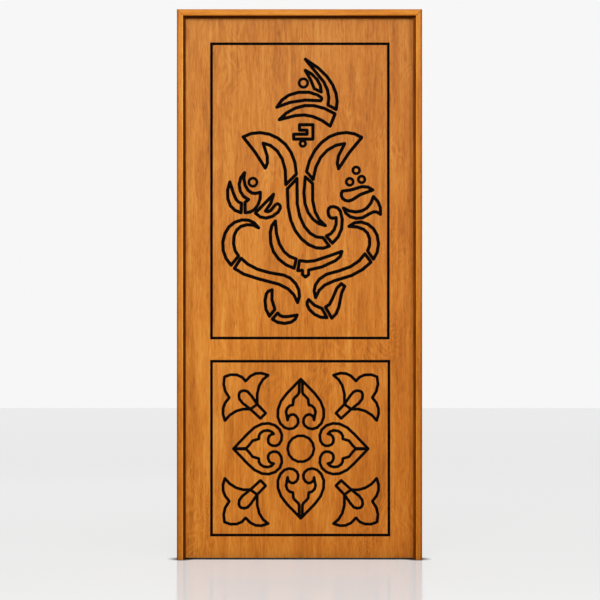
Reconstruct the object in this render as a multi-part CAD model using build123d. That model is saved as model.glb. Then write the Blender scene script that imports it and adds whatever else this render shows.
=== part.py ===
# Flush door with routed line work, hung in a mitred lining with planted stops.
# Seen from the front, X runs to the right, Y away from the viewer and Z up.
# The origin is on the floor, at the middle of the opening and of the lining's depth.
from build123d import *
import os
import numpy as np

# Driving sizes, in mm
leaf_width = 900
leaf_height = 2110
leaf_thick = 35
side_gap = 3
head_gap = 3
floor_gap = 4
lining_thick = 24
lining_depth = 75
arris_radius = 5
overrun = 2

# Opening, and limits in depth
opening_width = leaf_width + 2 * side_gap
opening_height = floor_gap + leaf_height + head_gap
outer_width = opening_width + 2 * lining_thick
outer_height = opening_height + lining_thick
lining_y = (-lining_depth / 2, lining_depth / 2)
leaf_back = lining_depth / 2
leaf_front = leaf_back - leaf_thick
leaf_x = (-leaf_width / 2, leaf_width / 2)
leaf_z = (floor_gap, floor_gap + leaf_height)

# Planted stops
stop_thick = 9
stop_depth = 24
stop_gap = 1
stop_y = (leaf_front - stop_gap - stop_depth, leaf_front - stop_gap)

# Loose tongues in the mitres
tongue_thick = 4
tongue_reach = 8
tongue_length = 55

# Holes through both jambs for the wall fixings, below each hinge's height
fixing_radius = 4
fixing_drop = 60
fixing_y = leaf_front + leaf_thick / 2

# Leaf framing between the two skins
skin_thick = 5
stile_width = 60
top_rail_height = 90
mid_rail_height = 120
mid_rail_middle = 812
bottom_rail_height = 150

# Butt hinges, on the right and at the back
hinge_height = 100
hinge_plate_thick = 2.5
hinge_plate_reach = 28
hinge_from_top = 150
hinge_from_bottom = 225
knuckle_radius = 6
knuckle_clear = 0.3
pin_radius = 3
pin_clear = 0.05
pivot_x = (leaf_width + side_gap) / 2
pivot_y = leaf_back + knuckle_radius + knuckle_clear
knuckle_height = (hinge_height - 2 * knuckle_clear) / 3

# The leaf's upper left and lower right corners in the photograph's pixels, as they lie on its face.
# The drawing keeps its proportions, at the largest size that fits the leaf.
leaf_px = ((184.2, 17.15), (414.8, 557.8))
drawn_width, drawn_height = leaf_px[1][0] - leaf_px[0][0], leaf_px[1][1] - leaf_px[0][1]
drawing_scale = min(leaf_width / drawn_width, leaf_height / drawn_height)

# Routed lines, with widths and facets as shares of the drawing's width
groove_depth = 3
figure_width_share = 0.0144
flower_width_share = 0.0126
border_width_share = 0.0113
facet_sag_share = 0.00167
facet_turn = np.radians(30)
fine_steps = 48
corner_sides = 8
ring_sides = 14
figure_width = figure_width_share * drawn_width * drawing_scale
flower_width = flower_width_share * drawn_width * drawing_scale
border_width = border_width_share * drawn_width * drawing_scale
facet_sag = facet_sag_share * drawn_width * drawing_scale

# Outlines read off the photograph by eye, in its pixels. Each is a list of strokes that end
# in a corner. A stroke starts where the one before it ends, and the last closes the outline.
border_px = [
    [[(388.3, 43.8)], [(388.3, 338.0)], [(211.5, 338.0)], [(211.5, 43.8)]],
    [[(388.9, 361.2)], [(388.9, 535.0)], [(211.5, 535.0)], [(211.5, 361.2)]],
]
crown_px = [
    [
        [(318.8, 68.5), (329.5, 79.7), (336.2, 94.0), (336.1, 109.4)],
        [(328.0, 105.0)],
        [(328.4, 93.6), (324.4, 83.0), (315.2, 71.3), (305.3, 59.2)],
    ],
    [
        [(315.9, 77.9), (319.8, 84.2), (321.3, 92.0)],
        [(314.3, 88.7)],
        [(310.1, 78.7), (305.2, 70.3)],
    ],
    [
        [(289.1, 95.0), (304.3, 91.9), (319.1, 95.8), (321.8, 98.4), (320.6, 100.7)],
        [(304.8, 100.1), (290.0, 102.4), (276.8, 107.2)],
    ],
    [
        [(291.2, 110.0), (309.1, 105.3), (327.5, 109.7), (335.1, 113.9)],
        [(330.1, 126.1)],
        [(321.2, 120.0), (304.8, 115.0), (288.0, 117.2), (279.2, 119.7)],
    ],
]
forehead_px = [
    [
        [(299.5, 124.7)],
        [(312.9, 124.7)],
        [(312.9, 139.1)],
        [(293.7, 139.1)],
        [(293.7, 134.2)],
        [(307.0, 134.2)],
        [(307.0, 130.2)],
        [(299.5, 130.2)],
    ],
]
ears_px = [
    [
        [(259.4, 132.6), (276.4, 137.2), (289.6, 149.8), (295.8, 167.2), (296.4, 174.0)],
        [(285.8, 184.6)],
        [(285.1, 169.0), (280.8, 156.0), (272.8, 146.9), (263.1, 143.1)],
        [(266.2, 152.0), (267.6, 161.0), (265.3, 168.1)],
        [(255.4, 152.6), (243.1, 136.9)],
    ],
    [
        [(345.0, 132.5), (327.9, 137.6), (313.5, 152.6), (306.5, 171.5)],
        [(313.2, 179.4)],
        [(316.0, 166.7), (322.7, 154.7), (332.0, 147.1), (344.7, 143.5)],
        [(339.4, 153.6), (337.3, 162.4), (338.5, 168.8)],
        [(349.0, 152.9), (361.8, 137.4)],
    ],
]
trunk_px = [
    [
        [(287.4, 188.9)],
        [(288.3, 208.6), (293.3, 226.8), (304.4, 241.6), (320.1, 248.4), (329.4, 246.1)],
        [(323.0, 237.7)],
        [(314.0, 235.9), (303.4, 224.8), (298.2, 210.4), (296.8, 196.0), (297.0, 178.4)],
    ],
    [
        [(312.6, 183.5)],
        [(312.4, 197.0), (317.2, 216.5), (325.4, 225.6)],
        [(314.6, 220.8), (305.8, 206.8), (303.9, 192.0), (305.3, 176.8)],
    ],
    [
        [(332.3, 243.2)],
        [
            (340.7, 231.8),
            (341.9, 216.5),
            (337.2, 207.6),
            (329.5, 207.6),
            (328.6, 215.3),
            (336.2, 217.6),
        ],
        [(335.2, 227.4), (331.2, 233.4), (326.2, 236.0)],
    ],
]
left_hand_px = [
    [
        [(232.2, 189.2), (234.4, 196.0), (237.0, 200.6), (241.4, 203.1)],
        [(241.2, 212.7)],
        [(230.1, 205.1), (227.4, 192.7), (229.9, 181.9)],
    ],
    [
        [(244.2, 181.7), (249.5, 191.6), (260.3, 192.2)],
        [(259.4, 201.6), (254.2, 209.7), (245.1, 212.7)],
        [(245.0, 202.3)],
        [(248.6, 199.5)],
        [(241.2, 193.2), (239.2, 184.0), (244.6, 172.6)],
    ],
    [
        [(273.6, 194.2)],
        [(270.4, 204.0), (265.4, 211.2)],
        [
            (270.2, 210.8),
            (274.6, 205.7),
            (277.7, 203.7),
            (280.2, 206.0),
            (279.5, 210.2),
            (276.4, 213.8),
            (267.0, 218.0),
            (255.4, 213.0),
        ],
    ],
]
right_hand_px = [
    [
        [
            (364.0, 193.0),
            (356.6, 196.7),
            (349.6, 200.9),
            (343.6, 199.4),
            (341.2, 195.0),
            (342.6, 191.0),
        ],
        [(355.0, 188.5), (363.8, 186.5), (372.9, 190.0)],
    ],
    [
        [(356.0, 211.9), (365.0, 209.5), (370.4, 203.8), (373.4, 196.5)],
        [(379.4, 204.5), (380.5, 214.4)],
        [(373.1, 211.9), (364.5, 216.9), (352.5, 217.6), (343.4, 207.9)],
    ],
]
arms_px = [
    [
        [(245.1, 219.7), (232.0, 224.0), (223.2, 239.0), (223.3, 251.0), (231.1, 265.1)],
        [(238.6, 255.9)],
        [(233.4, 241.8), (238.6, 228.0), (247.4, 224.6), (258.6, 227.8)],
    ],
    [
        [(362.5, 222.2), (373.6, 228.8), (378.5, 242.4), (373.4, 259.1)],
        [(367.5, 250.9)],
        [(369.9, 241.6), (366.2, 231.4), (357.4, 227.0), (348.9, 226.4)],
    ],
]
body_px = [
    [
        [(271.4, 226.6), (270.2, 236.8), (272.6, 249.8), (280.9, 261.1), (294.2, 268.3)],
        [(296.2, 258.9)],
        [(285.6, 253.3), (278.0, 240.0), (275.4, 221.0)],
    ],
    [
        [(313.6, 260.9), (328.9, 255.9), (341.9, 251.4)],
        [(340.4, 256.2), (331.9, 262.5), (318.6, 268.0), (308.6, 270.0)],
        [(308.6, 274.5)],
        [(305.5, 277.0)],
        [(302.5, 274.5)],
        [(302.5, 270.3)],
        [(297.8, 270.6)],
        [(299.5, 260.5)],
    ],
]
legs_px = [
    [
        [(252.2, 266.8), (270.4, 272.8), (289.0, 277.3), (298.9, 290.2), (297.6, 302.6)],
        [(286.6, 287.9), (268.4, 281.1), (252.0, 277.1), (234.4, 268.4)],
        [(241.0, 258.1)],
    ],
    [
        [(356.4, 263.0), (342.0, 270.0), (325.8, 274.6), (316.2, 283.2), (315.6, 297.6)],
        [(325.4, 284.6), (348.9, 276.5), (363.7, 268.7), (371.0, 262.1)],
        [(364.9, 253.8)],
    ],
]
feet_px = [
    [
        [(274.9, 309.4)],
        [(271.7, 297.0), (272.1, 289.7)],
        [(267.2, 292.4), (265.0, 301.0), (266.0, 309.4), (269.4, 316.2)],
    ],
    [
        [(282.4, 316.5), (289.4, 316.3), (297.2, 315.0)],
        [(294.4, 320.0), (284.6, 323.4), (272.3, 319.1)],
        [(277.6, 312.9)],
    ],
    [
        [(313.6, 304.6), (322.0, 308.5)],
        [(327.0, 317.6)],
        [(319.6, 316.9), (311.6, 311.9), (307.0, 303.6), (308.6, 299.5)],
    ],
    [
        [(331.8, 318.2)],
        [(337.9, 310.0), (340.8, 296.5), (344.7, 286.3)],
        [(341.3, 283.6)],
        [(336.6, 288.6), (333.4, 296.0), (330.4, 303.2), (325.5, 307.1)],
    ],
]
ring_px = [
    ((303.4, 83.0), 4.3),
    ((302.8, 143.6), 2.8),
    ((252.9, 182.2), 4.1),
    ((356.2, 170.3), 3.4),
    ((349.7, 181.8), 3.5),
    ((361.6, 179.4), 3.3),
    ((300.8, 448.7), 13.2),
]
# Half a petal, along and across its own middle line from the flower's centre
flower_px = (300.8, 448.7)
upright_petal_px = [
    [(55.2, 14.0)],
    [
        (48.0, 19.5),
        (35.7, 23.2),
        (23.6, 19.2),
        (19.7, 10.8),
        (24.9, 2.9),
        (32.4, 4.3),
        (34.4, 8.4),
        (32.6, 11.9),
        (28.6, 13.2),
    ],
    [(34.0, 14.6), (38.6, 14.5), (42.2, 12.2), (43.8, 7.9)],
    [(46.8, 7.8), (49.6, 7.2), (52.2, 4.8), (56.4, 1.6)],
    [(66.2, 1.6)],
    [(69.6, 0.0)],
]
side_petal_px = [
    [(53.2, 14.9)],
    [
        (46.5, 21.1),
        (34.6, 25.5),
        (22.6, 21.0),
        (18.8, 12.0),
        (24.0, 3.1),
        (31.8, 5.2),
        (32.2, 11.6),
        (27.0, 14.8),
    ],
    [(34.2, 18.4), (39.6, 16.4), (42.0, 9.8)],
    [(45.0, 9.2), (48.2, 8.0), (51.0, 4.5), (54.6, 0.4)],
    [(67.4, 0.0)],
]
# Corner flower at the upper left with its stem, and the point it is turned over about
lotus_middle_px = (300.8, 449.4)
lotus_px = [
    [
        [(257.3, 393.0), (260.3, 383.4), (268.2, 375.2)],
        [(256.0, 373.4), (245.6, 381.0)],
        [(240.2, 376.0), (234.6, 374.5), (224.5, 376.8)],
        [(224.2, 388.0), (229.3, 397.6)],
        [(223.2, 408.0), (224.9, 420.5)],
        [(231.4, 413.8), (239.6, 409.8), (250.4, 409.2)],
        [(257.2, 404.2)],
    ],
    [
        [(252.5, 397.6), (246.0, 390.8), (240.1, 391.9), (239.3, 398.6), (246.4, 405.8), (250.4, 409.2)],
        [(257.2, 404.2)],
    ],
    [[(265.7, 413.1)], [(260.5, 418.4)], [(250.4, 409.2)], [(257.2, 404.2)]],
]


def block(x, y, z):
    """Box between pairs of limits."""
    limits = (x, y, z)
    middle = [(low + high) / 2 for low, high in limits]
    return Pos(*middle) * Box(*[high - low for low, high in limits])


def through(x, y, z):
    """Straight hole along X, centred on a point, that clears the lining."""
    return Pos(x, y, z) * Rot(0, 90, 0) * Cylinder(fixing_radius, lining_thick + overrun)


def hinge_bases():
    """Heights of the hinges' lower ends."""
    lowest = leaf_z[0] + hinge_from_bottom
    highest = leaf_z[1] - hinge_from_top - hinge_height
    return {"bottom": lowest, "middle": (lowest + highest) / 2, "top": highest}


def mortise(face, inward, base):
    """Recess for one hinge plate in an edge, from its face inwards and open at the back."""
    x = sorted((face, face + inward * hinge_plate_thick))
    return block(x, (leaf_back - hinge_plate_reach, leaf_back + overrun), (base, base + hinge_height))


def front_arrises(solid, along):
    """The two long front edges of a lining member."""
    return solid.edges().filter_by(along).group_by(Axis.Y)[0]


def mitre_wedge(side, top):
    """Waste beyond the mitre of a jamb (top) or of the head, on one side."""
    inner, outer = (side * opening_width / 2, opening_height), (side * outer_width / 2, outer_height)
    corner = (inner[0], outer[1]) if top else (outer[0], inner[1])
    waste = make_face(Polyline(inner, outer, corner, close=True))
    return extrude(Plane.XZ * waste, amount=lining_depth, both=True)


def tongue(side):
    """Loose tongue across the mitre on one side."""
    x, z = side * (opening_width + lining_thick) / 2, opening_height + lining_thick / 2
    return Pos(x, 0, z) * Rot(0, 45 * side, 0) * Box(2 * tongue_reach, tongue_length, tongue_thick)


def jamb(side):
    """Lining member on one side, with its mitre, tongue slot and wall fixings."""
    x = sorted((side * opening_width / 2, side * outer_width / 2))
    board = block(x, lining_y, (0, outer_height))
    board = fillet(front_arrises(board, Axis.Z), arris_radius)
    board -= mitre_wedge(side, top=True)
    board -= tongue(side)
    for base in hinge_bases().values():
        board -= through(sum(x) / 2, fixing_y, base - fixing_drop)
    return board


def head():
    """Lining member across the top, with its two mitres and tongue slots."""
    board = block((-outer_width / 2, outer_width / 2), lining_y, (opening_height, outer_height))
    board = fillet(front_arrises(board, Axis.X), arris_radius)
    for side in (-1, 1):
        board -= mitre_wedge(side, top=False)
        board -= tongue(side)
    return board


def hinge_plate(side, base, knuckle_rows):
    """Hinge leaf on one side of the pivot, with knuckles in the given thirds of its height."""
    x = sorted((pivot_x + side * side_gap / 2, pivot_x + side * (side_gap / 2 + hinge_plate_thick)))
    plate = block(x, (leaf_back - hinge_plate_reach, leaf_back), (base, base + hinge_height))
    bore = pin_radius + (pin_clear if side < 0 else 0)
    for row in knuckle_rows:
        low = base + row * (knuckle_height + knuckle_clear)
        plate += block(x, (leaf_back, pivot_y), (low, low + knuckle_height))
        plate += Pos(pivot_x, pivot_y, low + knuckle_height / 2) * Cylinder(knuckle_radius, knuckle_height)
    return plate - Pos(pivot_x, pivot_y, base + hinge_height / 2) * Cylinder(bore, hinge_height + overrun)


def hinge_pin(base):
    """Pin through one hinge's knuckles."""
    return Pos(pivot_x, pivot_y, base + hinge_height / 2) * Cylinder(pin_radius, hinge_height)


def to_leaf(point):
    """Place on the leaf's face of a pixel of the photograph."""
    (left, top), (right, bottom) = leaf_px
    x = sum(leaf_x) / 2 + (point[0] - (left + right) / 2) * drawing_scale
    z = sum(leaf_z) / 2 + ((top + bottom) / 2 - point[1]) * drawing_scale
    return (x, z)


def run(points):
    """Points along a smooth stroke, closer together where it bends."""
    if len(points) == 2:
        return np.array(points)
    curve = Spline(*points)
    share = np.linspace(0, 1, fine_steps)
    place = np.array([tuple(curve @ s)[:2] for s in share])
    step = np.diff(place, axis=0)
    length = np.hypot(*step.T)
    heading = np.unwrap(np.arctan2(step[:, 1], step[:, 0]))
    bend = np.abs(np.gradient(heading))
    need = np.maximum(bend / facet_turn, np.sqrt(bend * length / (8 * facet_sag)))
    total = np.append(0, np.cumsum(need))
    stops = np.linspace(0, total[-1], int(np.ceil(total[-1])) + 1)
    return np.column_stack([np.interp(stops, total, place[:, axis]) for axis in (0, 1)])


def beside(path, reach):
    """A run of points moved sideways, mitred at its bends."""
    step = np.diff(path, axis=0)
    step /= np.hypot(*step.T)[:, None]
    normal = np.column_stack([-step[:, 1], step[:, 0]])
    before, after = np.vstack([normal[:1], normal]), np.vstack([normal, normal[-1:]])
    return path + reach * (before + after) / (1 + np.sum(before * after, axis=1))[:, None]


def groove(outline, width, corner):
    """Face of the groove along a closed outline, with the given face at its corners."""
    pieces = []
    start = outline[-1][-1]
    for stroke in outline:
        path = run([to_leaf(point) for point in [start, *stroke]])
        edge = np.vstack([beside(path, width / 2), beside(path, -width / 2)[::-1]])
        pieces.append(make_face(Polyline(*[tuple(point) for point in edge], close=True)))
        pieces.append(Pos(*to_leaf(stroke[-1])) * corner)
        start = stroke[-1]
    return pieces[0] + pieces[1:]


def ring(centre, radius):
    """Face of the groove round a small circle."""
    middle = radius * drawing_scale
    face = RegularPolygon(middle + flower_width / 2, ring_sides)
    return Pos(*to_leaf(centre)) * (face - RegularPolygon(middle - flower_width / 2, ring_sides))


def petals():
    """The flower's petal halves, in pixels."""
    for across, down in ((1, 0), (-1, 0), (0, 1), (0, -1)):
        for hand in (-1, 1):
            yield [
                [
                    (
                        flower_px[0] + along * across - hand * aside * down,
                        flower_px[1] + along * down + hand * aside * across,
                    )
                    for along, aside in stroke
                ]
                for stroke in (side_petal_px if across else upright_petal_px)
            ]


def corner_flowers():
    """The corner flower's outlines turned over into all four corners, in pixels."""
    for across in (1, -1):
        for down in (1, -1):
            for outline in lotus_px:
                yield [
                    [
                        (
                            lotus_middle_px[0] + across * (x - lotus_middle_px[0]),
                            lotus_middle_px[1] + down * (y - lotus_middle_px[1]),
                        )
                        for x, y in stroke
                    ]
                    for stroke in outline
                ]


def line_work():
    """Faces of all the routed lines, with the borders' corners squared and the others' rounded."""
    figure = [
        *crown_px, *forehead_px, *ears_px, *trunk_px, *left_hand_px, *right_hand_px,
        *arms_px, *body_px, *legs_px, *feet_px,
    ]
    flowers = [*petals(), *corner_flowers()]
    square = Rectangle(border_width, border_width)
    faces = [groove(outline, border_width, square) for outline in border_px]
    for outlines, width in ((figure, figure_width), (flowers, flower_width)):
        rounded = RegularPolygon(width / 2, corner_sides)
        faces += [groove(outline, width, rounded) for outline in outlines]
    return faces + [ring(centre, radius) for centre, radius in ring_px]


def front_skin():
    """Front face sheet with the lines routed into it."""
    sheet = block(leaf_x, (leaf_front, leaf_front + skin_thick), leaf_z)
    lines = line_work()
    floor_plane = Plane((0, leaf_front + groove_depth, 0), x_dir=(1, 0, 0), z_dir=(0, -1, 0))
    cutters = extrude(floor_plane * (lines[0] + lines[1:]), amount=groove_depth + overrun)
    return sheet - cutters


def leaf_pieces():
    """The leaf's skins, framing and core."""
    core_y = (leaf_front + skin_thick, leaf_back - skin_thick)
    inner_x = (leaf_x[0] + stile_width, leaf_x[1] - stile_width)
    mid_z = (mid_rail_middle - mid_rail_height / 2, mid_rail_middle + mid_rail_height / 2)
    top_z = leaf_z[1] - top_rail_height
    bottom_z = leaf_z[0] + bottom_rail_height
    back_skin = block(leaf_x, (core_y[1], leaf_back), leaf_z)
    hinge_stile = block((inner_x[1], leaf_x[1]), core_y, leaf_z)
    for base in hinge_bases().values():
        back_skin -= mortise(leaf_x[1], -1, base)
        hinge_stile -= mortise(leaf_x[1], -1, base)
    return {
        "front_skin": front_skin(),
        "back_skin": back_skin,
        "hinge_stile": hinge_stile,
        "closing_stile": block((leaf_x[0], inner_x[0]), core_y, leaf_z),
        "top_rail": block(inner_x, core_y, (top_z, leaf_z[1])),
        "upper_core": block(inner_x, core_y, (mid_z[1], top_z)),
        "middle_rail": block(inner_x, core_y, mid_z),
        "lower_core": block(inner_x, core_y, (bottom_z, mid_z[0])),
        "bottom_rail": block(inner_x, core_y, (leaf_z[0], bottom_z)),
    }


def frame_pieces():
    """The lining, its tongues and the planted stops."""
    right_jamb = jamb(1)
    for base in hinge_bases().values():
        right_jamb -= mortise(opening_width / 2, 1, base)
    stop_x = (opening_width / 2 - stop_thick, opening_width / 2)
    stop_top = opening_height - stop_thick
    return {
        "left_jamb": jamb(-1),
        "right_jamb": right_jamb,
        "head_jamb": head(),
        "left_tongue": tongue(-1),
        "right_tongue": tongue(1),
        "left_stop": block((-stop_x[1], -stop_x[0]), stop_y, (0, stop_top)),
        "right_stop": block(stop_x, stop_y, (0, stop_top)),
        "head_stop": block((-stop_x[1], stop_x[1]), stop_y, (stop_top, opening_height)),
    }


def hinge_pieces():
    """Three butt hinges, each with its two leaves and its pin."""
    pieces = {}
    for name, base in hinge_bases().items():
        pieces[f"{name}_hinge_frame_leaf"] = hinge_plate(1, base, (0, 2))
        pieces[f"{name}_hinge_door_leaf"] = hinge_plate(-1, base, (1,))
        pieces[f"{name}_hinge_pin"] = hinge_pin(base)
    return pieces


os.makedirs("parts", exist_ok=True)
for node, solid in {**frame_pieces(), **hinge_pieces(), **leaf_pieces()}.items():
    export_step(solid, f"parts/{node}.step")
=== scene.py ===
"""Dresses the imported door: lacquered teak veneer with routed black lines, dark stops and steel hinges."""

import logging
import math
from dataclasses import dataclass, field
from enum import Enum

import bpy
import numpy as np
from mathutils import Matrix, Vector


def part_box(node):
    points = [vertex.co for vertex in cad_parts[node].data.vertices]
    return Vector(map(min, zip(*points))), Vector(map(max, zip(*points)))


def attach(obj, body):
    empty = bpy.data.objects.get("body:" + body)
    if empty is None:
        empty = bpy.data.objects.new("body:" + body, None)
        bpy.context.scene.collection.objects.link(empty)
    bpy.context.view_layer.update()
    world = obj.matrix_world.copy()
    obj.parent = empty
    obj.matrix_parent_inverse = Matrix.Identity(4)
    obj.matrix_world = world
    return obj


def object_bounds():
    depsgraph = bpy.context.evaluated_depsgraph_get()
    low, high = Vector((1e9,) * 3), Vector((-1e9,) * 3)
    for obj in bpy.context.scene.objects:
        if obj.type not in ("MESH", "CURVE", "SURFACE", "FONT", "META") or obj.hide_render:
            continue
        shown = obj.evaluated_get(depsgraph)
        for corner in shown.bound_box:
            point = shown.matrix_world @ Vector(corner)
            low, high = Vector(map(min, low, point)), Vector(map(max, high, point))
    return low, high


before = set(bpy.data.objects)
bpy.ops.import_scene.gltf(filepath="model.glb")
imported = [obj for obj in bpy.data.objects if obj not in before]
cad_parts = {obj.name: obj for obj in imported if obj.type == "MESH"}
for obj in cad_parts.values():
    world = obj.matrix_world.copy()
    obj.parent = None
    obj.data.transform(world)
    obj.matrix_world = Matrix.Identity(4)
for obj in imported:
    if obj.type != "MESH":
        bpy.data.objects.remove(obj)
CAD_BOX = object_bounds()

LOG = logging.getLogger("door")
MM = 0.001
WHITE, BLACK = "#ffffff", "#000000"
Stops = tuple[tuple[float, str], ...]
Socket = bpy.types.NodeSocket
Tree = bpy.types.NodeTree
Value = Socket | float | tuple[float, ...] | list[float]

# Dark, middle and light tones of the wood. A board's are those of its inner arris under the painted
# highlight, which the painted shades bring down elsewhere.
LEAF_TONES = ("#9b571b", "#d07f2c", "#e8a44d")
BOARD_TONES = ("#c37b29", "#f7ab41", "#ffce6f")
# The jamb from the opening outwards: a painted highlight on the inner arris, the plain face, and painted
# shade on the outer arris.
JAMB_ACROSS: Stops = (
    (0.0, WHITE), (0.11, WHITE), (0.21, "#e1c9a2"), (0.66, "#dfc79f"), (0.82, "#b48f5b"), (1.0, "#b9976c"),
)
# The head from the opening upwards: painted shade on its lower arris, then the plain face.
HEAD_ACROSS: Stops = ((0.0, "#d6bd96"), (0.22, "#e1c9a2"), (1.0, "#e3cca6"))
# Painted light and shade, from the floor upwards and from the viewer's left to the right: the jambs darker
# towards the floor, the leaf warmer towards the floor and dimmer at the head, and all darker to the right.
JAMB_UPWARDS: Stops = ((0.0, "#e2cfaa"), (1.0, "#fcf9f6"))
LEAF_UPWARDS: Stops = ((0.0, "#fff6d6"), (0.4, "#fff9e2"), (1.0, "#f2f2f4"))
BOARD_SIDEWAYS: Stops = ((0.0, "#fdfdfd"), (1.0, "#f7f1e4"))
LEAF_SIDEWAYS: Stops = ((0.0, WHITE), (1.0, "#f0e8dd"))


class Along(Enum):
    """The row axis that a grain or a shade runs along, as the index of that axis."""

    X = 0
    Z = 2


def linear(hex_colour: str) -> tuple[float, float, float, float]:
    """Turns an sRGB hex colour into linear values with full alpha, by the sRGB standard's own curve.

    Args:
        hex_colour: Six hex digits with a leading hash.

    Returns:
        Red, green, blue and alpha.
    """
    srgb = np.array([int(hex_colour[i : i + 2], 16) for i in (1, 3, 5)]) / 255
    channels = np.where(srgb <= 0.04045, srgb / 12.92, ((srgb + 0.055) / 1.055) ** 2.4)
    return (*channels.tolist(), 1.0)


def add_node(
    tree: Tree, kind: str, settings: dict[str, object] | None = None, out: int | str = 0, **inputs: Value
) -> Socket:
    """Adds a node with its settings, sets or links its inputs, and gives one of its outputs.

    Args:
        tree: The node tree that gets the node.
        kind: The node's type name.
        settings: Attributes to set on the node, or under "stops" a colour ramp's places and hex colours.
        out: The output's number or name.
        inputs: Values or output sockets by input name, with underscores for spaces, or iN for input N.

    Returns:
        The output.
    """
    node = tree.nodes.new(kind)
    settings = dict(settings or {})
    stops = settings.pop("stops", ())
    while stops and len(node.color_ramp.elements) < len(stops):
        node.color_ramp.elements.new(1.0)
    for number, (place, colour) in enumerate(stops):
        node.color_ramp.elements[number].position = place
        node.color_ramp.elements[number].color = linear(colour)
    for name, value in settings.items():
        setattr(node, name, value)
    for name, value in inputs.items():
        by_number = name[0] == "i" and name[1:].isdigit()
        socket = node.inputs[int(name[1:])] if by_number else node.inputs[name.replace("_", " ")]
        if isinstance(value, bpy.types.NodeSocket):
            tree.links.new(value, socket)
        else:
            socket.default_value = value
    return node.outputs[out]


def new_material(name: str) -> tuple[bpy.types.Material, Tree, bpy.types.NodeInputs]:
    """Starts a material with one shader.

    Args:
        name: The material's name.

    Returns:
        The material, its node tree and its shader's inputs.
    """
    material = bpy.data.materials.new(name)
    material.use_nodes = True
    tree = material.node_tree
    return material, tree, tree.nodes["Principled BSDF"].inputs


@dataclass(frozen=True)
class Layer:
    """One scale of grain: noise of a real width, drawn out along the grain, with its share of the tone.

    Detail, rough and bend are the noise's own settings: its octaves, how much each adds, and its distortion.
    """

    width_mm: float
    stretch: float
    share: float = 1.0
    detail: float = 1.0
    rough: float = 0.5
    bend: float = 0.0

    def noise(self, tree: Tree, along: Along, place: Socket | None = None) -> Socket:
        """Builds the noise, with one unit to a streak's width.

        Args:
            tree: The material's node tree.
            along: The grain's axis.
            place: Coordinates in metres, or the object's own.

        Returns:
            The noise's value.
        """
        scale = [1 / (self.width_mm * MM)] * 3
        scale[along.value] /= self.stretch
        place = place or add_node(tree, "ShaderNodeTexCoord", out="Object")
        drawn = add_node(tree, "ShaderNodeMapping", Vector=place, Scale=scale)
        form = {"Detail": self.detail, "Roughness": self.rough, "Distortion": self.bend}
        return add_node(tree, "ShaderNodeTexNoise", Vector=drawn, Scale=1.0, **form)


@dataclass(frozen=True)
class Shade:
    """Painted light and shade along one axis: a ramp of colours that multiplies the wood's own."""

    along: Along
    start: float
    end: float
    stops: Stops
    both_sides: bool = False

    def tint(self, tree: Tree, colour: Socket) -> Socket:
        """Multiplies a colour by the ramp.

        Args:
            tree: The material's node tree.
            colour: The wood's colour.

        Returns:
            The shaded colour.
        """
        place = add_node(tree, "ShaderNodeTexCoord", out="Object")
        where = add_node(tree, "ShaderNodeSeparateXYZ", out=self.along.value, Vector=place)
        if self.both_sides:
            where = add_node(tree, "ShaderNodeMath", {"operation": "ABSOLUTE"}, i0=where)
        share = add_node(tree, "ShaderNodeMapRange", Value=where, From_Min=self.start, From_Max=self.end)
        shade = add_node(tree, "ShaderNodeValToRGB", {"stops": self.stops}, Fac=share)
        multiply = {"data_type": "RGBA", "blend_type": "MULTIPLY"}
        return add_node(tree, "ShaderNodeMix", multiply, out=2, i0=1.0, i6=colour, i7=shade)


@dataclass(frozen=True)
class Mitre:
    """Dark hairline of a mitred joint, where the distances across both boards are the same."""

    offset: float
    line_mm: float = 1.0
    joint: str = "#6b3a12"

    def tint(self, tree: Tree, colour: Socket) -> Socket:
        """Draws the joint over a colour.

        Args:
            tree: The material's node tree.
            colour: The wood's colour.

        Returns:
            The colour with the joint.
        """
        place = add_node(tree, "ShaderNodeTexCoord", out="Object")
        across, _, up = add_node(tree, "ShaderNodeSeparateXYZ", Vector=place).node.outputs
        across = add_node(tree, "ShaderNodeMath", {"operation": "ABSOLUTE"}, i0=across)
        apart = add_node(tree, "ShaderNodeMath", {"operation": "SUBTRACT"}, i0=across, i1=up)
        same = {"operation": "COMPARE"}
        near = add_node(tree, "ShaderNodeMath", same, i0=apart, i1=self.offset, i2=self.line_mm * MM)
        over = linear(self.joint)
        return add_node(tree, "ShaderNodeMix", {"data_type": "RGBA"}, out=2, i0=near, i6=colour, i7=over)


@dataclass(frozen=True)
class PaintRim:
    """Black paint that bled over the lines' sharp edges, where a rounded normal leans off the flat one."""

    reach_mm: float = 0.6
    flat_cosine: float = 0.999
    colour: str = "#040303"
    samples: int = 6

    def tint(self, tree: Tree, colour: Socket) -> Socket:
        """Paints the rim over a colour.

        Args:
            tree: The material's node tree.
            colour: The wood's colour.

        Returns:
            The colour with the rim.
        """
        rounded = add_node(tree, "ShaderNodeBevel", {"samples": self.samples}, Radius=self.reach_mm * MM)
        flat = add_node(tree, "ShaderNodeNewGeometry", out="True Normal")
        dot = {"operation": "DOT_PRODUCT"}
        cosine = add_node(tree, "ShaderNodeVectorMath", dot, out="Value", i0=rounded, i1=flat)
        bled = add_node(tree, "ShaderNodeMath", {"operation": "LESS_THAN"}, i0=cosine, i1=self.flat_cosine)
        over = linear(self.colour)
        return add_node(tree, "ShaderNodeMix", {"data_type": "RGBA"}, out=2, i0=bled, i6=colour, i7=over)


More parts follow.
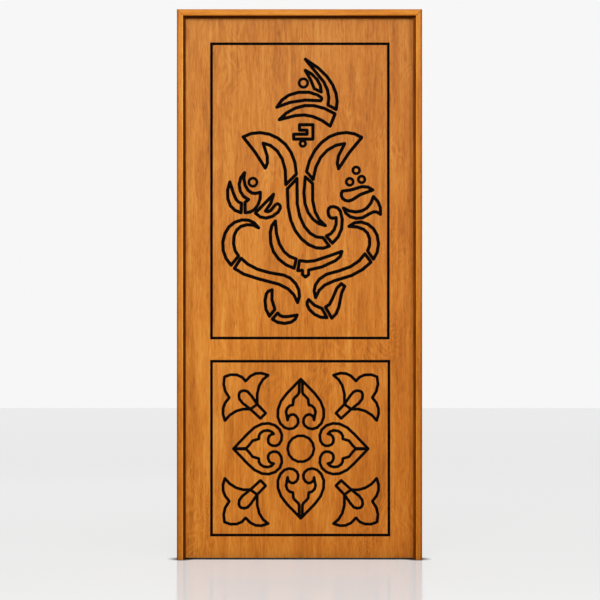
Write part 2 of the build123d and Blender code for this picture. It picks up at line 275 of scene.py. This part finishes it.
@dataclass(frozen=True)
class LacqueredVeneer:
    """Sliced teak veneer under satin lacquer: wandering bands, flecks, fibres, pores and feathered patches.

    The flecks and pores of real teak are finer, and are drawn as coarse as they need to show.
    """

    name: str
    tones: tuple[str, str, str]
    grain: Along
    tints: tuple[Shade | Mitre | PaintRim, ...] = ()
    band: Layer = Layer(42.0, 9.0, 0.38, 3.0, 0.55, 0.6)
    streak: Layer = Layer(13.0, 22.0, 0.32, 3.0, 0.65, 0.9)
    fleck: Layer = Layer(5.0, 7.0, 0.22, 2.0, 0.7, 0.5)
    fibre: Layer = Layer(1.2, 40.0, 0.10, 2.0, 0.6)
    pore: Layer = Layer(4.5, 9.0, -0.08)
    pore_range: tuple[float, float] = (0.58, 0.74)
    feather: Layer = Layer(120.0, 3.0, 0.035, 2.0, bend=1.0)
    feather_waves: float = 95.0
    patch: Layer = Layer(156.0, 2.0, detail=0.0)
    patch_range: tuple[float, float] = (0.50, 0.66)
    wander: Layer = Layer(60.0, 4.0)
    wander_mm: float = 26.0
    base_value: float = 0.02
    tone_places: tuple[float, float, float] = (0.33, 0.52, 0.71)
    bump_mm: float = 0.12
    bump_strength: float = 0.1
    roughness: tuple[float, float] = (0.40, 0.50)
    specular: float = 0.10

    def place(self, tree: Tree) -> Socket:
        """Object coordinates pushed sideways by a slow noise, so that the fibres wander as they run.

        Args:
            tree: The material's node tree.

        Returns:
            The pushed coordinates.
        """
        plain = add_node(tree, "ShaderNodeTexCoord", out="Object")
        slow = self.wander.noise(tree, self.grain, plain)
        push = [self.wander_mm * MM] * 3
        push[self.grain.value] = 0.0
        pushed = {"operation": "MULTIPLY_ADD"}
        return add_node(tree, "ShaderNodeVectorMath", pushed, i0=slow, i1=push, i2=plain)

    def feathers(self, tree: Tree, place: Socket) -> Socket:
        """Feathered figure: the sine of a slow noise, shown only in patches.

        Args:
            tree: The material's node tree.
            place: Coordinates in metres.

        Returns:
            The waves, about zero.
        """
        slow = self.feather.noise(tree, self.grain, place)
        patches = self.patch.noise(tree, self.grain, place)
        turns = add_node(tree, "ShaderNodeMath", {"operation": "MULTIPLY"}, i0=slow, i1=self.feather_waves)
        waves = add_node(tree, "ShaderNodeMath", {"operation": "SINE"}, i0=turns)
        low, high = self.patch_range
        shown = add_node(tree, "ShaderNodeMapRange", Value=patches, From_Min=low, From_Max=high)
        return add_node(tree, "ShaderNodeMath", {"operation": "MULTIPLY"}, i0=waves, i1=shown)

    def pores(self, tree: Tree, place: Socket) -> Socket:
        """Short dark pores, where a fine noise is high.

        Args:
            tree: The material's node tree.
            place: Coordinates in metres.

        Returns:
            One in a pore and zero outside.
        """
        low, high = self.pore_range
        fine = self.pore.noise(tree, self.grain, place)
        return add_node(tree, "ShaderNodeMapRange", Value=fine, From_Min=low, From_Max=high)

    def material(self) -> bpy.types.Material:
        """Builds the veneer: the layers of grain are added to a base value and looked up in one ramp.

        Returns:
            The material.
        """
        material, tree, shader = new_material(self.name)
        place = self.place(tree)
        fleck = self.fleck.noise(tree, self.grain, place)
        marks = (
            (self.band.noise(tree, self.grain, place), self.band.share),
            (self.streak.noise(tree, self.grain, place), self.streak.share),
            (fleck, self.fleck.share),
            (self.fibre.noise(tree, self.grain, place), self.fibre.share),
            (self.feathers(tree, place), self.feather.share),
            (self.pores(tree, place), self.pore.share),
        )
        value, added = self.base_value, {"operation": "MULTIPLY_ADD"}
        for mark, share in marks:
            value = add_node(tree, "ShaderNodeMath", added, i0=mark, i1=share, i2=value)
        stops = tuple(zip(self.tone_places, self.tones))
        colour = add_node(tree, "ShaderNodeValToRGB", {"stops": stops}, Fac=value)
        for tint in self.tints:
            colour = tint.tint(tree, colour)
        relief = {"Strength": self.bump_strength, "Distance": self.bump_mm * MM}
        tree.links.new(add_node(tree, "ShaderNodeBump", Height=fleck, **relief), shader["Normal"])
        tree.links.new(colour, shader["Base Color"])
        smooth, rough = self.roughness
        gloss = add_node(tree, "ShaderNodeMapRange", Value=fleck, To_Min=smooth, To_Max=rough)
        tree.links.new(gloss, shader["Roughness"])
        shader["Specular IOR Level"].default_value = self.specular
        return material


@dataclass(frozen=True)
class PlainGrain:
    """A material of two tones with one layer of grain between them."""

    name: str
    dark: str
    light: str
    grain: Along
    layer: Layer
    tone_places: tuple[float, float]
    roughness: tuple[float, float]
    specular: float
    metallic: float = 0.0
    bump_mm: float = 0.1
    bump_strength: float = 0.1

    def material(self) -> bpy.types.Material:
        """Builds the material: the grain sets the tone, the roughness and the relief.

        Returns:
            The material.
        """
        material, tree, shader = new_material(self.name)
        grain = self.layer.noise(tree, self.grain)
        stops = tuple(zip(self.tone_places, (self.dark, self.light)))
        colour = add_node(tree, "ShaderNodeValToRGB", {"stops": stops}, Fac=grain)
        tree.links.new(colour, shader["Base Color"])
        smooth, rough = self.roughness
        gloss = add_node(tree, "ShaderNodeMapRange", Value=grain, To_Min=smooth, To_Max=rough)
        tree.links.new(gloss, shader["Roughness"])
        relief = {"Strength": self.bump_strength, "Distance": self.bump_mm * MM}
        tree.links.new(add_node(tree, "ShaderNodeBump", Height=grain, **relief), shader["Normal"])
        shader["Specular IOR Level"].default_value = self.specular
        shader["Metallic"].default_value = self.metallic
        return material


@dataclass(frozen=True)
class BlackPaint(PlainGrain):
    """Matt black paint brushed into the routed lines: it takes the light away, a little unevenly."""

    name: str = "matt black paint"
    dark: str = "#030202"
    light: str = "#080605"
    grain: Along = Along.Z
    layer: Layer = Layer(9.0, 2.0, detail=2.0)
    tone_places: tuple[float, float] = (0.3, 0.8)
    roughness: tuple[float, float] = (0.85, 0.95)
    specular: float = 0.05


@dataclass(frozen=True)
class DarkStainAndShade(PlainGrain):
    """Hardwood stained a deep brown under satin lacquer, which also paints the shade of the narrow gap round
    the leaf: nearly flat, with faint streaks.
    """

    layer: Layer = Layer(11.0, 15.0, detail=2.0)
    tone_places: tuple[float, float] = (0.3, 0.75)
    roughness: tuple[float, float] = (0.45, 0.55)
    specular: float = 0.01


@dataclass(frozen=True)
class BrushedSteel(PlainGrain):
    """Rolled steel brushed to a satin face: pale grey with a soft sheen that the brushing breaks up.

    The real scratches are too fine to show, and are drawn coarser.
    """

    name: str = "brushed steel"
    dark: str = "#aaa79f"
    light: str = "#c6c3bb"
    grain: Along = Along.Z
    layer: Layer = Layer(1.6, 25.0, detail=2.0)
    tone_places: tuple[float, float] = (0.3, 0.7)
    roughness: tuple[float, float] = (0.28, 0.40)
    specular: float = 0.5
    metallic: float = 1.0
    bump_mm: float = 0.02


@dataclass(frozen=True)
class BareTimber(PlainGrain):
    """Planed softwood without finish, in the tongues and the leaf's core: dull pale brown with fine lines."""

    name: str = "planed softwood"
    dark: str = "#a9753f"
    light: str = "#cf9c62"
    grain: Along = Along.Z
    layer: Layer = Layer(6.25, 32.0, detail=3.0)
    tone_places: tuple[float, float] = (0.3, 0.7)
    roughness: tuple[float, float] = (0.55, 0.65)
    specular: float = 0.5


def paint(node: str, material: bpy.types.Material) -> None:
    """Gives one node its material.

    Args:
        node: The node's name.
        material: Its finish.
    """
    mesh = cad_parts[node].data
    mesh.materials.clear()
    mesh.materials.append(material)
    LOG.info("dressed %s in %s", node, material.name)


@dataclass
class Lining:
    """Two jambs and a head with their tongues and dark stops."""

    timber: BareTimber = field(default_factory=BareTimber)
    stains_and_shade: tuple[tuple[str, DarkStainAndShade], ...] = (
        # The deep brown paints the shade round the leaf; the head's darkest is painted shade under the head,
        # and the right stop's lighter brown is painted light.
        ("left", DarkStainAndShade("stained hardwood", "#431c03", "#602c06", Along.Z)),
        ("right", DarkStainAndShade("stained hardwood, painted light", "#5c2a07", "#88440a", Along.Z)),
        ("head", DarkStainAndShade("stained hardwood, painted deepest shade", "#290f00", "#3a1600", Along.X)),
    )

    def dress(self) -> None:
        """Paints every piece of the lining, with the shades measured from the opening's edges."""
        (inner_x, _, _), (outer_x, _, _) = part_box("right_jamb")
        (_, _, inner_z), (_, _, outer_z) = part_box("head_jamb")
        sideways = Shade(Along.X, -outer_x, outer_x, BOARD_SIDEWAYS)
        upwards = Shade(Along.Z, 0.0, outer_z, JAMB_UPWARDS)
        across_jamb = Shade(Along.X, inner_x, outer_x, JAMB_ACROSS, both_sides=True)
        across_head = Shade(Along.Z, inner_z, outer_z, HEAD_ACROSS)
        mitre = Mitre(inner_x - inner_z)
        jamb_tints, head_tints = (across_jamb, upwards, sideways, mitre), (across_head, sideways, mitre)
        jamb = LacqueredVeneer("lacquered teak, upright", BOARD_TONES, Along.Z, jamb_tints).material()
        head = LacqueredVeneer("lacquered teak, across", BOARD_TONES, Along.X, head_tints).material()
        timber = self.timber.material()
        for side in ("left", "right"):
            paint(f"{side}_jamb", jamb)
            paint(f"{side}_tongue", timber)
        paint("head_jamb", head)
        for place, stain_and_shade in self.stains_and_shade:
            paint(f"{place}_stop", stain_and_shade.material())


@dataclass
class Leaf:
    """The flush leaf: two veneered skins over a timber frame and core."""

    line: BlackPaint = field(default_factory=BlackPaint)
    rim: PaintRim = field(default_factory=PaintRim)
    timber: BareTimber = field(default_factory=BareTimber)
    margin_mm: float = 0.2
    plain_veneer: tuple[str, ...] = ("back_skin", "hinge_stile", "closing_stile")
    bare: tuple[str, ...] = ("top_rail", "upper_core", "middle_rail", "lower_core", "bottom_rail")

    def dress(self) -> None:
        """Paints the skins, the edges and the core."""
        _, (half, _, top) = CAD_BOX
        sideways = Shade(Along.X, -half, half, LEAF_SIDEWAYS)
        upwards = Shade(Along.Z, 0.0, top, LEAF_UPWARDS)
        face_tints = (sideways, upwards, self.rim)
        face = LacqueredVeneer("lacquered teak veneer, face", LEAF_TONES, Along.Z, face_tints).material()
        plain = LacqueredVeneer("lacquered teak veneer, back", LEAF_TONES, Along.Z).material()
        timber = self.timber.material()
        paint("front_skin", face)
        self.paint_lines()
        for node in self.plain_veneer:
            paint(node, plain)
        for node in self.bare:
            paint(node, timber)

    def paint_lines(self) -> None:
        """Paints each facet whose centre lies inside the front skin's outer limits: those of the lines."""
        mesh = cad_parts["front_skin"].data
        mesh.materials.append(self.line.material())
        centres = np.empty(len(mesh.polygons) * 3)
        mesh.polygons.foreach_get("center", centres)
        centres = centres.reshape(-1, 3)
        low, high = (np.array(corner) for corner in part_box("front_skin"))
        margin = self.margin_mm * MM
        inside = np.all((centres > low + margin) & (centres < high - margin), axis=1)
        mesh.polygons.foreach_set("material_index", inside.astype(np.int32))
        mesh.update()
        LOG.info("painted %d facets of the routed lines", int(inside.sum()))


@dataclass
class Hinges:
    """Three steel butt hinges with their countersunk screws."""

    places: tuple[str, ...] = ("bottom", "middle", "top")
    steel: BrushedSteel = field(default_factory=BrushedSteel)
    screw_steel: BrushedSteel = BrushedSteel("turned screw steel", "#75726c", "#918e87")
    screw_radius_mm: float = 4.2
    dome_mm: float = 0.25
    proud_mm: float = 0.05
    floor_mm: float = 0.02
    slot_half_mm: float = 0.55
    cross_share: float = 0.55
    stagger_mm: tuple[float, float] = (9.0, 18.0)
    rings: int = 12
    spokes: int = 48
    per_plate: int = 3
    front_edge_mm: float = 1.0

    def dress(self) -> None:
        """Paints the plates and pins, and sets the screws in the plates."""
        steel, screw_steel = self.steel.material(), self.screw_steel.material()
        for place in self.places:
            for piece in ("frame_leaf", "door_leaf", "pin"):
                paint(f"{place}_hinge_{piece}", steel)
            self.set_screws(f"{place}_hinge_frame_leaf", "frame", -1, screw_steel)
            self.set_screws(f"{place}_hinge_door_leaf", "leaf", 1, screw_steel)

    def screw_head(self) -> tuple[np.ndarray, np.ndarray, np.ndarray]:
        """A closed, shallow domed head with a cross recess, as height over a polar grid.

        The height is a low dome, cut down to a floor where either arm of the cross is nearer than its half
        width. The last ring lies on the plate and closes the head.

        Returns:
            Points with X outwards from the plate, triangles at the two middles, and quads between the rings.
        """
        share = np.append(np.arange(1, self.rings + 1) / self.rings, 1.0)[:, None]
        angle = np.linspace(0, 2 * math.pi, self.spokes, endpoint=False)[None, :]
        y, z = self.screw_radius_mm * share * np.cos(angle), self.screw_radius_mm * share * np.sin(angle)
        dome = np.broadcast_to(self.proud_mm + self.dome_mm * (1 - share**2), y.shape)
        in_cross = (np.minimum(np.abs(y), np.abs(z)) < self.slot_half_mm) & (share < self.cross_share)
        height = np.where(in_cross, self.floor_mm, dome)
        height[-1] = 0.0
        grid = np.stack([height, y, z], axis=-1).reshape(-1, 3)
        points = np.vstack([[(self.floor_mm, 0, 0)], grid, [(0, 0, 0)]]) * MM
        spoke = np.arange(self.spokes)
        after = (spoke + 1) % self.spokes
        ring = 1 + self.spokes * np.arange(self.rings)[:, None]
        outer = ring + self.spokes
        quads = np.stack([ring + spoke, outer + spoke, outer + after, ring + after], axis=-1).reshape(-1, 4)
        top = np.column_stack([np.zeros_like(spoke), 1 + spoke, 1 + after])
        bottom = np.column_stack([np.full_like(spoke, len(points) - 1), outer[-1] + after, outer[-1] + spoke])
        return points, np.vstack([top, bottom]), quads

    def set_screws(self, node: str, body: str, out: int, steel: bpy.types.Material) -> None:
        """Sets one plate's screws, staggered along it, on its face towards the gap.

        Args:
            node: The plate's node.
            body: The body that the screws ride on.
            out: Side of the plate that the heads face, -1 or 1 along X.
            steel: The screws' finish.
        """
        (_, front, low), (_, _, high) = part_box(node)
        points, triangles, quads = self.screw_head()
        number = np.arange(self.per_plate)
        x = np.full(self.per_plate, self.plate_face(node, out))
        y = front + np.where(number % 2, *self.stagger_mm) * MM
        z = low + (number + 0.5) / self.per_plate * (high - low)
        every = np.column_stack([x, y, z])[:, None, :] + points[None, :, :] * (out, 1, 1)
        faces = []
        for kind in (triangles, quads):
            each = number[:, None, None] * len(points) + kind[None, :, ::out]
            faces += each.reshape(-1, kind.shape[1]).tolist()
        mesh = bpy.data.meshes.new(f"{node}_screws")
        mesh.from_pydata(every.reshape(-1, 3).tolist(), [], faces)
        mesh.materials.append(steel)
        screws = bpy.data.objects.new(f"{node}_screws", mesh)
        bpy.context.collection.objects.link(screws)
        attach(screws, body)
        LOG.info("set %d screws in %s", self.per_plate, node)

    def plate_face(self, node: str, out: int) -> float:
        """Place along X of the plate's face towards the gap, from its points in front of the knuckles.

        Args:
            node: The plate's node.
            out: Side of the face, -1 or 1 along X.

        Returns:
            The face's X.
        """
        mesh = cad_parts[node].data
        points = np.empty(len(mesh.vertices) * 3)
        mesh.vertices.foreach_get("co", points)
        points = points.reshape(-1, 3)
        front = points[points[:, 1] < points[:, 1].min() + self.front_edge_mm * MM]
        return float(front[:, 0].max() if out > 0 else front[:, 0].min())


def seen_share(tree: Tree) -> Socket:
    """One where the camera, a reflection or glass looks, and zero where the surface only gives light.

    Args:
        tree: The node tree that asks.

    Returns:
        The value.
    """
    rays = add_node(tree, "ShaderNodeLightPath").node.outputs
    seen = rays["Is Camera Ray"]
    for name in ("Is Glossy Ray", "Is Transmission Ray"):
        seen = add_node(tree, "ShaderNodeMath", {"operation": "MAXIMUM"}, i0=seen, i1=rays[name])
    return seen


@dataclass(frozen=True)
class Lamp:
    """One square soft lamp, with its place, the point that it faces, its side and its power."""

    name: str
    place: tuple[float, float, float]
    target: tuple[float, float, float]
    side_m: float
    watts: float

    def hang(self) -> None:
        """Hangs the lamp."""
        light = bpy.data.lights.new(self.name, "AREA")
        light.size = self.side_m
        light.energy = self.watts
        lamp = bpy.data.objects.new(self.name, light)
        lamp.location = self.place
        lamp.rotation_euler = (Vector(self.target) - Vector(self.place)).to_track_quat("-Z", "Y").to_euler()
        bpy.context.collection.objects.link(lamp)


@dataclass
class Studio:
    """Pale floor and backdrop, soft lamps and the camera at the photograph's angle."""

    lamps: tuple[Lamp, ...] = (
        Lamp("key", (-0.2, -4.8, 2.9), (0.0, 0.0, 1.1), 2.0, 132.0),
        Lamp("fill", (2.6, -4.6, 2.2), (0.0, 0.0, 1.1), 2.4, 50.0),
        Lamp("back", (-1.0, 4.0, 3.2), (0.0, 0.0, 1.0), 2.5, 30.0),
    )
    room_light: float = 0.30
    wall_hex: str = "#f7f7f7"
    floor_hex: str = "#f1f1f0"
    floor_half_m: float = 14.0
    floor_veil: float = 0.5
    floor_roughness: float = 0.12
    floor_specular: float = 0.3
    contact_mm: float = 42.0
    contact_power: float = 9.0
    camera_m: float = 10.0
    photo_mm_per_px: float = 3.887
    photo_px: float = 600.0
    foot_px: tuple[float, float] = (299.5, 559.9)
    sensor_mm: float = 36.0

    def build(self) -> None:
        """Makes the floor, the light and the camera."""
        self.floor()
        self.world()
        for lamp in self.lamps:
            lamp.hang()
        self.camera()

    def floor(self) -> None:
        """Lays a wide plain floor."""
        half = self.floor_half_m
        mesh = bpy.data.meshes.new("floor")
        corners = [(-half, -half, 0), (half, -half, 0), (half, half, 0), (-half, half, 0)]
        mesh.from_pydata(corners, [], [(0, 1, 2, 3)])
        mesh.materials.append(self.floor_material())
        floor = bpy.data.objects.new("floor", mesh)
        bpy.context.collection.objects.link(floor)

    def floor_material(self) -> bpy.types.Material:
        """Builds a polished floor that shows partly white to the camera, with painted shadow close under a
        piece.

        Returns:
            The material.
        """
        material, tree, shader = new_material("polished pale floor")
        # Painted shadow: the floor turns dark, dull and unveiled where pieces nearby hide the sky.
        near = add_node(tree, "ShaderNodeAmbientOcclusion", out="AO", Distance=self.contact_mm * MM)
        clear = add_node(tree, "ShaderNodeMath", {"operation": "POWER"}, i0=near, i1=self.contact_power)
        black, pale = linear(BLACK), linear(self.floor_hex)
        colour = add_node(tree, "ShaderNodeMix", {"data_type": "RGBA"}, out=2, i0=clear, i6=black, i7=pale)
        tree.links.new(colour, shader["Base Color"])
        polish = add_node(tree, "ShaderNodeMath", {"operation": "MULTIPLY"}, i0=clear, i1=self.floor_specular)
        tree.links.new(polish, shader["Specular IOR Level"])
        shader["Roughness"].default_value = self.floor_roughness
        veil = add_node(tree, "ShaderNodeMath", {"operation": "MULTIPLY"}, i0=clear, i1=self.floor_veil)
        share = add_node(tree, "ShaderNodeMath", {"operation": "MULTIPLY"}, i0=veil, i1=seen_share(tree))
        lit = tree.nodes["Principled BSDF"].outputs[0]
        white = add_node(tree, "ShaderNodeEmission", Color=linear(self.wall_hex))
        both = add_node(tree, "ShaderNodeMixShader", i0=share, i1=lit, i2=white)
        tree.links.new(both, tree.nodes["Material Output"].inputs["Surface"])
        return material

    def world(self) -> None:
        """Lights the room evenly, and shows white to the camera and in reflections."""
        world = bpy.data.worlds.new("studio")
        bpy.context.scene.world = world
        world.use_nodes = True
        tree = world.node_tree
        tree.nodes.remove(tree.nodes["Background"])
        room = add_node(tree, "ShaderNodeBackground", Color=linear(WHITE), Strength=self.room_light)
        white = add_node(tree, "ShaderNodeBackground", Color=linear(self.wall_hex), Strength=1.0)
        both = add_node(tree, "ShaderNodeMixShader", i0=seen_share(tree), i1=room, i2=white)
        tree.links.new(both, tree.nodes["World Output"].inputs["Surface"])

    def camera(self) -> None:
        """Stands the camera level in front of the door, at the photograph's scale on the lining's face.

        The pixel at foot_px shows the point of that face that is on the floor, in the middle of the opening.
        """
        (_, front, _), _ = CAD_BOX
        metre_per_px = self.photo_mm_per_px * MM
        x = (self.photo_px / 2 - self.foot_px[0]) * metre_per_px
        z = (self.foot_px[1] - self.photo_px / 2) * metre_per_px
        data = bpy.data.cameras.new("camera")
        data.sensor_width = self.sensor_mm
        data.lens = self.sensor_mm * self.camera_m / (self.photo_px * metre_per_px)
        camera = bpy.data.objects.new("camera", data)
        camera.location = (x, front - self.camera_m, z)
        camera.rotation_euler = (math.pi / 2, 0, 0)
        bpy.context.collection.objects.link(camera)
        bpy.context.scene.camera = camera


def main() -> None:
    """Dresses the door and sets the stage."""
    logging.basicConfig(level=logging.INFO, format="%(name)s: %(message)s")
    bpy.context.scene.view_settings.view_transform = "Standard"
    Lining().dress()
    Leaf().dress()
    Hinges().dress()
    Studio().build()


if __name__ == "__main__":
    main()
